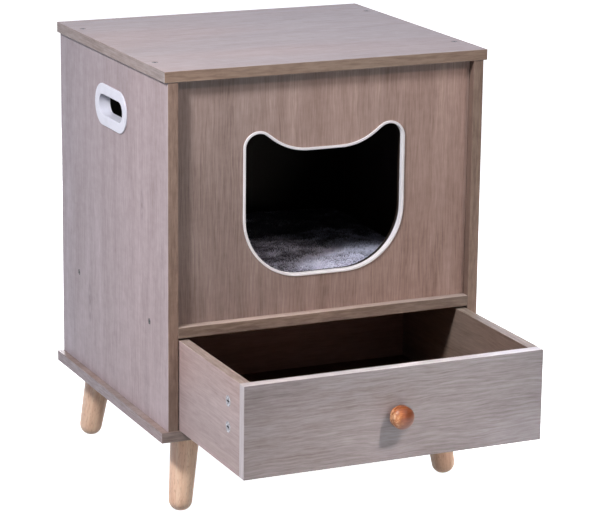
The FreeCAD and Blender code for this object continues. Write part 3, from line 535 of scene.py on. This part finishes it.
def knobFinish():
    finish, tree, skin, spot = newFinish("varnishedKnob", knob["shader"])
    streak = cloud(tree, spot, *knob["streaks"])
    # painted light and shade: the knob is paler on the left, where the light falls, and darker on the right
    litSide = ease(tree, parted(tree, spot)[0], *knob["litSideEdges"])
    fleck = ease(tree, cloud(tree, spot, *knob["flecks"]), *knob["fleckEdges"])
    colour = ramp(tree, mixed(tree, knob["streakShare"], evened(tree, streak), litSide), knob["tones"])
    colour = blendColours(tree, fleck, colour, knob["dark"])
    dress(tree, skin, colour, evened(tree, streak, *knob["rough"]), bump(tree, streak, *knob["relief"]))
    return finish


putOn("drawer_knob", knobFinish())


# zinc-plated fittings

zinc = {
    "shader": {"Metallic": 1.0},
    "rough": (0.28, 0.48),
    "relief": (0.00004, 0.3),
    "tones": [(0.0, shade(158, 158, 164)), (1.0, shade(94, 94, 98))],
    "bloom": (420, 4.0, 0.65),
    "bloomEdges": (0.35, 0.7),
    "scratch": ((260, 2600, 2600), 2.0),
}


def zincFinish():
    finish, tree, skin, spot = newFinish("zinc", zinc["shader"])
    bloom = cloud(tree, spot, *zinc["bloom"])
    scratch = cloud(tree, spot, *zinc["scratch"])
    colour = ramp(tree, ease(tree, bloom, *zinc["bloomEdges"]), zinc["tones"])
    dress(tree, skin, colour, evened(tree, bloom, *zinc["rough"]), bump(tree, scratch, *zinc["relief"]))
    return finish


metalFinish = zincFinish()
for metalName in ("drawer_cam_nuts", "drawer_cam_bolts", "drawer_knob_screw", "leg_bolts", "leg_inserts"):
    putOn(metalName, metalFinish)


# countersunk screws, bright metal round the driver recess, with painted shade in the recess and at the edge of the head

screw = {
    "shader": {"Specular IOR Level": 0.1},
    "rough": (0.3, 0.5),
    "relief": (0.00004, 0.3),
    # the dark tone is painted shade in the recess and at the head's edge
    "tones": [(0.0, shade(16, 15, 16)), (1.0, shade(168, 165, 165))],
    "metal": 0.4,  # how metallic the bright ring is
    "bloom": (700, 3.0, 0.6),
    "bloomEdges": (0.2, 0.6, 0.6, 1.0),
    "head": 0.004,  # radius
    "recessShadeEdges": (0.002, 0.0025),  # from the head's middle
    "headEdgeShadeEdges": (0.0033, 0.0026),
    "axes": {"top_screws": 2, "base_screws": 2, "shelf_screws": 0, "drawer_back_screws": 0},
}


def screwFinish(name, axis):
    finish, tree, skin, spot = newFinish("zinc." + name, screw["shader"])
    low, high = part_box(name)
    place = parted(tree, vectorCalc(tree, "SUBTRACT", spot, (low + high) / 2))
    away = [0.0, 0.0, 0.0]
    for side in range(3):
        if side != axis:
            reach = (high[side] - low[side]) / 2 - screw["head"]  # rows of screws folded into one
            away[side] = calc(tree, "SUBTRACT", calc(tree, "ABSOLUTE", place[side]), reach)
    away = lengthOf(tree, joined(tree, *away))
    bloom = cloud(tree, spot, *screw["bloom"])
    # painted shade: dark and matt in the driver recess and round the edge of the head, bright metal between
    ring = calc(tree, "MULTIPLY", ease(tree, away, *screw["recessShadeEdges"]), ease(tree, away, *screw["headEdgeShadeEdges"]))
    ring = calc(tree, "MULTIPLY", ring, ease(tree, bloom, *screw["bloomEdges"]))
    tree.links.new(calc(tree, "MULTIPLY", ring, screw["metal"]), skin.inputs["Metallic"])
    colour = ramp(tree, ring, screw["tones"])
    dress(tree, skin, colour, evened(tree, bloom, *screw["rough"]), bump(tree, bloom, *screw["relief"]))
    putOn(name, finish)


for screwName, screwAxis in screw["axes"].items():
    screwFinish(screwName, screwAxis)
print("legs, knob and fittings dressed")


# plush pad on the shelf

plush = {
    # the blank
    "start": 0.004,  # smaller than the finished pad all round, because it swells
    "squareness": 8.0,  # plan outline, 2 is an ellipse
    "outlinePoints": 96,
    "drawIn": 0.008,  # how far the sides pull in between the corners
    "drawInPower": 4,
    "crown": -0.001,  # top of the blank above the solid's
    "waist": 0.4,  # height share of the widest line
    "foot": 0.95,  # plan share of the underside
    "footSteps": 5,
    "shoulderSteps": 13,
    "shoulderRise": 0.53,
    "shoulderDraw": 0.32,
    "voxel": 0.005,
    # swelling
    "pressure": 4.0,
    "frames": 20,
    "cap": 0.006,  # most that a point may move
    # crumpling
    "lump": 0.0065,
    "lumpSize": 0.06,
    "lumpSalt": 3.0,
    "crush": 0.0022,
    "crushSize": 0.02,
    "crushSalt": 5.0,
    "seamDepth": 0.0025,
    "seamWidth": 0.005,
    "seamSteep": 0.7,  # the seam is pressed in where the normal rises less than this
    "undersideLift": 0.0004,
    "wallGap": 0.0025,
    # finish
    "shader": {"Specular IOR Level": 0.1, "Sheen Weight": 0.35, "Sheen Roughness": 0.5},
    "rough": (0.95, 0.8),
    "relief": (0.0015, 0.5),
    "tones": [(0.0, shade(66, 66, 76)), (0.5, shade(208, 210, 230)), (1.0, shade(240, 240, 250))],
    "toneEdges": (0.2, 0.76),
    "clumps": ((22, 34, 34), 3.0, 0.6),
    "clumpShare": 0.7,
    "tufts": (160, 2.0, 0.6),
    "shadeDepth": 0.14,  # how much darker painted shade makes the pile
    "shadeLineSlant": 0.54,
    "shadeLineEdges": (-0.125, -0.075),  # along the slanting line
    "rearShadeEdges": (-0.01, 0.05),  # along Y
    "tipEdges": (0.0, 1.0, -0.14, 0.06),
}
pile = {
    "density": 210000.0,  # tufts per square metre
    "length": 0.0036,
    "width": 0.0012,
    "sides": 4,
    "scales": (0.65, 1.25),
    "upright": (0, 0, 0.5),
    "lean": 1.6,
    "swirl": 30.0,
    "flattest": 0.05,  # no pile where the normal rises less
    "seed": 7,
}


def padOutline(reachX, reachY, share):  # a rounded rectangle whose sides pull in between its corners
    power = 2 / plush["squareness"]
    spots = []
    for index in range(plush["outlinePoints"]):
        turn = 2 * math.pi * index / plush["outlinePoints"]
        x = math.copysign(abs(math.cos(turn)) ** power, math.cos(turn))
        y = math.copysign(abs(math.sin(turn)) ** power, math.sin(turn))
        pullX = plush["drawIn"] * (1 - y * y) * x ** plush["drawInPower"]
        pullY = plush["drawIn"] * (1 - x * x) * y ** plush["drawInPower"]
        spots.append((share * (reachX * x - math.copysign(pullX, x)), share * (reachY * y - math.copysign(pullY, y))))
    return spots


def padBlank(name, low, high):  # the closed form before it swells
    inset = Vector((plush["start"], plush["start"], 0))
    low, high = low + inset, high - inset + Vector((0, 0, plush["crown"]))
    centre, reach = (low + high) / 2, (high - low) / 2
    height = high.z - low.z
    waist, foot = plush["waist"], plush["foot"]
    profile = []
    for step in range(plush["footSteps"]):  # from the underside to the widest line
        rise = step / plush["footSteps"]
        profile.append((rise * waist, foot + (1 - foot) * math.sin(rise * math.pi / 2)))
    for step in range(plush["shoulderSteps"]):  # over the shoulder, and short of the crown's middle
        turn = math.pi / 2 * step / (plush["shoulderSteps"] - 0.5)
        rise = waist + (1 - waist) * math.sin(turn) ** plush["shoulderRise"]
        profile.append((rise, math.cos(turn) ** plush["shoulderDraw"]))
    shape = bmesh.new()
    loops = []
    for rise, share in profile:
        outline = padOutline(reach.x, reach.y, share)
        loops.append([shape.verts.new((centre.x + x, centre.y + y, low.z + rise * height)) for x, y in outline])
    for under, over in zip(loops, loops[1:]):
        for index in range(len(under)):
            following = (index + 1) % len(under)
            shape.faces.new((under[index], under[following], over[following], over[index]))
    shape.faces.new(loops[0][::-1])
    shape.faces.new(loops[-1])
    mesh = bpy.data.meshes.new(name)
    shape.to_mesh(mesh)
    shape.free()
    made = bpy.data.objects.new(name, mesh)
    scene.collection.objects.link(made)
    return made


def takeMesh(piece):  # what the modifiers make, which are then removed
    depsgraph = bpy.context.evaluated_depsgraph_get()
    mesh = bpy.data.meshes.new_from_object(piece.evaluated_get(depsgraph), depsgraph=depsgraph)
    piece.modifiers.clear()
    return mesh


def swell(piece):  # cloth under pressure, with a cap on how far it moves
    start = [vertex.co.copy() for vertex in piece.data.vertices]
    cloth = piece.modifiers.new("swell", "CLOTH")
    cloth.settings.use_pressure = True
    cloth.settings.uniform_pressure_force = plush["pressure"]
    cloth.settings.effector_weights.gravity = 0.0
    cloth.collision_settings.use_collision = False
    cloth.point_cache.frame_start = 1
    cloth.point_cache.frame_end = plush["frames"]
    for number in range(1, plush["frames"] + 1):
        scene.frame_set(number)
    piece.data = takeMesh(piece)
    scene.frame_set(1)
    for vertex, was in zip(piece.data.vertices, start):
        move = vertex.co - was
        if move.length > plush["cap"]:
            vertex.co = was + move * (plush["cap"] / move.length)


def roll(spot, size, salt):  # smooth noise, -1 to 1
    return noise.noise(spot / size + Vector((salt, salt * 2, salt * 3)))


def crumple(piece, low, high):  # lumps of crushed pile, the sewn seam and a flat underside
    seam = low.z + (high.z - low.z) * plush["waist"]
    gap = plush["wallGap"]
    frontWall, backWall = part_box("front_panel")[1].y + gap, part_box("back_panel")[0].y - gap
    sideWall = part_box("right_side_panel")[0].x - gap
    normals = [vertex.normal.copy() for vertex in piece.data.vertices]
    for vertex, normal in zip(piece.data.vertices, normals):
        spot = vertex.co.copy()
        push = plush["lump"] * roll(spot, plush["lumpSize"], plush["lumpSalt"])
        push += plush["crush"] * roll(spot, plush["crushSize"], plush["crushSalt"])
        if abs(normal.z) < plush["seamSteep"]:
            push -= plush["seamDepth"] * math.exp(-(((spot.z - seam) / plush["seamWidth"]) ** 2))
        underneath = normal.z <= -steep
        if not underneath:
            vertex.co += normal * push
        vertex.co.z = max(vertex.co.z, low.z + (plush["undersideLift"] if underneath else 0.0))
        vertex.co.x = max(-sideWall, min(sideWall, vertex.co.x))
        vertex.co.y = max(frontWall, min(backWall, vertex.co.y))


def plushFinish(name, tipped):
    finish, tree, skin, spot = newFinish(name, plush["shader"])
    tuft = cloud(tree, spot, *plush["tufts"])
    tone = mixed(tree, plush["clumpShare"], cloud(tree, spot, *plush["clumps"]), tuft)
    place = parted(tree, spot)  # painted shade: the pile is darker beyond a slanting line, where the light through the opening ends, and darker again at the rear, in shadow
    shadeLine = calc(tree, "SUBTRACT", place[1], calc(tree, "MULTIPLY", place[0], plush["shadeLineSlant"]))
    tone = calc(tree, "SUBTRACT", tone, ease(tree, shadeLine, *plush["shadeLineEdges"], 0.0, plush["shadeDepth"]))
    tone = calc(tree, "SUBTRACT", tone, ease(tree, place[1], *plush["rearShadeEdges"], 0.0, plush["shadeDepth"]))
    if tipped:  # fibres are paler towards their tips
        tip = addNode(tree, "ShaderNodeAttribute", attribute_name="tip").outputs["Fac"]
        tone = calc(tree, "ADD", tone, ease(tree, tip, *plush["tipEdges"]))
    colour = ramp(tree, ease(tree, tone, *plush["toneEdges"]), plush["tones"])
    dress(tree, skin, colour, evened(tree, tuft, *plush["rough"]), bump(tree, tuft, *plush["relief"]))
    return finish


def pileTree():  # tufts of plush standing on a surface
    tree = bpy.data.node_groups.new("plushPile", "GeometryNodeTree")
    sockets = tree.interface
    sockets.new_socket("Geometry", in_out="INPUT", socket_type="NodeSocketGeometry")
    for name in ("Density", "Length", "Width", "Lean", "Swirl"):
        sockets.new_socket(name, in_out="INPUT", socket_type="NodeSocketFloat")
    sockets.new_socket("Seed", in_out="INPUT", socket_type="NodeSocketInt")
    sockets.new_socket("Finish", in_out="INPUT", socket_type="NodeSocketMaterial")
    sockets.new_socket("Geometry", in_out="OUTPUT", socket_type="NodeSocketGeometry")
    given = addNode(tree, "NodeGroupInput").outputs
    normal = addNode(tree, "GeometryNodeInputNormal").outputs[0]
    upward = calc(tree, "GREATER_THAN", parted(tree, normal)[2], pile["flattest"])
    points = addNode(tree, "GeometryNodeDistributePointsOnFaces", {
        "Mesh": given["Geometry"], "Selection": upward, "Density": given["Density"], "Seed": given["Seed"]}).outputs
    tuft = addNode(tree, "GeometryNodeMeshCone", {
        "Vertices": pile["sides"], "Side Segments": 1, "Radius Top": 0.0, "Radius Bottom": given["Width"],
        "Depth": given["Length"]}, fill_type="NONE").outputs[0]
    place = addNode(tree, "GeometryNodeInputPosition").outputs[0]
    tip = calc(tree, "DIVIDE", parted(tree, place)[2], given["Length"])
    tuft = addNode(tree, "GeometryNodeStoreNamedAttribute", {"Geometry": tuft, "Name": "tip", "Value": tip},
                   data_type="FLOAT", domain="POINT").outputs[0]
    swirlInputs = {"Vector": place, "Scale": given["Swirl"], "Detail": 1.0}
    swirl = addNode(tree, "ShaderNodeTexNoise", swirlInputs).outputs["Color"]
    swirl = vectorCalc(tree, "SUBTRACT", swirl, (0.5, 0.5, 0.5))
    lean = addNode(tree, "ShaderNodeVectorMath", {0: swirl, "Scale": given["Lean"]}, operation="SCALE").outputs[0]
    heading = vectorCalc(tree, "ADD", vectorCalc(tree, "ADD", points["Normal"], pile["upright"]), lean)
    stand = addNode(tree, "FunctionNodeAlignRotationToVector", {"Vector": heading}, axis="Z").outputs[0]
    spinInputs = {2: 0.0, 3: 2 * math.pi, "Seed": given["Seed"]}
    spinAngle = addNode(tree, "FunctionNodeRandomValue", spinInputs).outputs[1]
    spun = addNode(tree, "FunctionNodeEulerToRotation", {0: joined(tree, 0.0, 0.0, spinAngle)}).outputs[0]
    turn = addNode(tree, "FunctionNodeRotateRotation", {0: stand, 1: spun}, rotation_space="LOCAL").outputs[0]
    smallest, largest = pile["scales"]
    scale = addNode(tree, "FunctionNodeRandomValue", {2: smallest, 3: largest, "Seed": given["Seed"]}).outputs[1]
    tufts = addNode(tree, "GeometryNodeInstanceOnPoints", {
        "Points": points["Points"], "Instance": tuft, "Rotation": turn, "Scale": scale}).outputs[0]
    real = addNode(tree, "GeometryNodeRealizeInstances", {0: tufts}).outputs[0]
    finished = addNode(tree, "GeometryNodeSetMaterial", {"Geometry": real, "Material": given["Finish"]}).outputs[0]
    addNode(tree, "NodeGroupOutput", {0: finished})
    return tree


def growPile(pad):  # the pile as a mesh of its own
    settings = pad.modifiers.new("pile", "NODES")
    settings.node_group = pileTree()
    values = {name.capitalize(): pile[name] for name in ("density", "length", "width", "lean", "swirl", "seed")}
    values["Finish"] = plushFinish("plushPile", True)
    for item in settings.node_group.interface.items_tree:
        if item.in_out == "INPUT" and item.name in values:
            settings[item.identifier] = values[item.name]
    grown = bpy.data.objects.new("plush_pile", takeMesh(pad))
    scene.collection.objects.link(grown)
    return grown


def plushPad():
    low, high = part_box("cushion")
    pad = padBlank("plush_pad", low, high)
    remesh = pad.modifiers.new("even", "REMESH")
    remesh.mode = "VOXEL"
    remesh.voxel_size = plush["voxel"]
    pad.data = takeMesh(pad)
    swell(pad)
    crumple(pad, low, high)
    smooth = pad.modifiers.new("smooth", "SUBSURF")
    smooth.levels = smooth.render_levels = 1
    pad.data = takeMesh(pad)
    pad.data.polygons.foreach_set("use_smooth", [True] * len(pad.data.polygons))
    pad.data.materials.clear()
    pad.data.materials.append(plushFinish("plushGround", False))
    grown = growPile(pad)
    for piece in (pad, grown):
        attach(piece, "cabinet")
    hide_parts("cushion")
    print("plush pad:", len(pad.data.polygons), "faces,", len(grown.data.polygons), "pile faces")


plushPad()


# floor, light and camera

studio = {
    "floorShader": {"Roughness": 0.9, "Specular IOR Level": 0.1, "Emission Color": (1.0, 1.0, 1.0, 1.0),
                    "Emission Strength": 0.97},  # the glow keeps the floor pale where it is shaded
    "floorTones": [(0.0, shade(247, 247, 247)), (1.0, shade(250, 250, 250))],
    "floorMottle": 3,
    "floorReach": 12.0,
    "ambient": 0.075,
    # soft boxes: place, what they point at, width, degrees of spread, power and colour; bounce is light thrown back
    # by the floor in front, glint a narrow beam on the drawer, right and back fill what the photo doesn't show
    "boxes": {
        "key": {"spot": (-1.16, -0.7, 1.47), "aim": (0, -0.2, 0.35), "size": 0.25, "spread": 180, "power": 27.6,
                "colour": (1.0, 1.0, 1.03)},
        "front": {"spot": (0.8, -1.63, 1.97), "aim": (0, -0.2, 0.35), "size": 0.4, "spread": 180, "power": 13.5,
                  "colour": (1.0, 0.846, 0.79)},
        "low": {"spot": (0.0, -2.0, 0.12), "aim": (0, -0.3, 0.05), "size": 0.8, "spread": 20, "power": 0.3,
                "colour": (1.0, 0.95, 0.9)},
        "bounce": {"spot": (0.0, -1.05, 0.002), "aim": (0.0, -1.05, 1.0), "size": 0.9, "spread": 180, "power": 1.85,
                   "colour": (0.65, 0.87, 1.0)},
        "glint": {"spot": (0.6, -2.0, 2.3), "aim": (0, -0.44, 0.18), "size": 0.12, "spread": 18, "power": 0.4,
                  "colour": (1.0, 0.95, 0.92)},
        "right": {"spot": (2.3, 0.35, 0.35), "aim": (0.2, 0.0, 0.33), "size": 0.5, "spread": 120, "power": 8.5,
                  "colour": (0.88, 0.91, 1.0)},
        "back": {"spot": (0.4, 2.4, 0.35), "aim": (0.0, 0.2, 0.33), "size": 0.5, "spread": 120, "power": 13.0,
                 "colour": (0.97, 0.97, 1.0)},
    },
    # far lamps: degrees right of the front, degrees up, degrees across, power and colour
    "lamps": {
        "side": {"turn": -92, "lift": 20, "size": 30, "power": 0.5, "colour": (0.72, 0.72, 1.0)},
        "rear": {"turn": 155, "lift": 30, "size": 25, "power": 0.94, "colour": (0.79, 0.83, 1.0)},
    },
    "lampReach": 3,
}
# the camera: place, degrees right of the front, downwards and rolled, and lens and film width in millimetres
view = {"spot": (-1.4825, -3.3575, 1.2557), "turn": -24.61, "drop": 14.651, "roll": 0.673, "lens": 157.8, "film": 36}


def layFloor():
    reach = studio["floorReach"]
    mesh = bpy.data.meshes.new("floor")
    corners = [(-reach, -reach, 0), (reach, -reach, 0), (reach, reach, 0), (-reach, reach, 0)]
    mesh.from_pydata(corners, [], [(0, 1, 2, 3)])
    floor = bpy.data.objects.new("floor", mesh)
    scene.collection.objects.link(floor)
    finish, tree, skin, spot = newFinish("paleFloor", studio["floorShader"])
    colour = ramp(tree, cloud(tree, spot, studio["floorMottle"]), studio["floorTones"])
    tree.links.new(colour, skin.inputs["Base Color"])
    mesh.materials.append(finish)
    floor.visible_diffuse = False  # the fill comes from the sky alone


def compass(turn, lift):  # the direction so many radians right of the front and up
    return Vector((math.sin(turn) * math.cos(lift), -math.cos(turn) * math.cos(lift), math.sin(lift)))


def hangLight(name, kind, toward, spot, look):  # shines back along toward
    light = bpy.data.lights.new(name, kind)
    light.energy = look["power"]
    light.color = look["colour"]
    made = bpy.data.objects.new(name, light)
    made.rotation_euler = toward.to_track_quat("Z", "Y").to_euler()
    made.location = spot
    made.visible_camera = False
    scene.collection.objects.link(made)
    return light


def hangBox(name, look):
    spot = Vector(look["spot"])
    box = hangLight(name, "AREA", spot - Vector(look["aim"]), spot, look)
    box.shape = "DISK"
    box.size = look["size"]
    box.spread = math.radians(look["spread"])


def hangLamp(name, look):
    toward = compass(math.radians(look["turn"]), math.radians(look["lift"]))
    sun = hangLight(name, "SUN", toward, toward * studio["lampReach"], look)
    sun.angle = math.radians(look["size"])


def setSky():
    sky = bpy.data.worlds.new("sky")
    sky.use_nodes = True
    background = sky.node_tree.nodes["Background"]
    background.inputs["Strength"].default_value = studio["ambient"]
    background.inputs["Color"].default_value = (1.0, 1.0, 1.0, 1.0)
    scene.world = sky
    scene.view_settings.view_transform = "Standard"


def setCamera():
    lens = bpy.data.cameras.new("camera")
    lens.lens = view["lens"]
    lens.sensor_width = view["film"]
    lens.sensor_fit = "HORIZONTAL"
    turn, drop, tilt = (math.radians(view[key]) for key in ("turn", "drop", "roll"))
    back = compass(turn, drop)
    right = Vector((math.cos(turn), math.sin(turn), 0))
    up = back.cross(right)
    acrossFrame = right * math.cos(tilt) + up * math.sin(tilt)
    upFrame = up * math.cos(tilt) - right * math.sin(tilt)
    axes = Matrix((acrossFrame, upFrame, back)).transposed().to_4x4()
    camera = bpy.data.objects.new("camera", lens)
    camera.matrix_world = Matrix.Translation(view["spot"]) @ axes
    scene.collection.objects.link(camera)
    scene.camera = camera


layFloor()
for boxName, boxLook in studio["boxes"].items():
    hangBox(boxName, boxLook)
for lampName, lampLook in studio["lamps"].items():
    hangLamp(lampName, lampLook)
setSky()
setCamera()
print("floor, light and camera set")
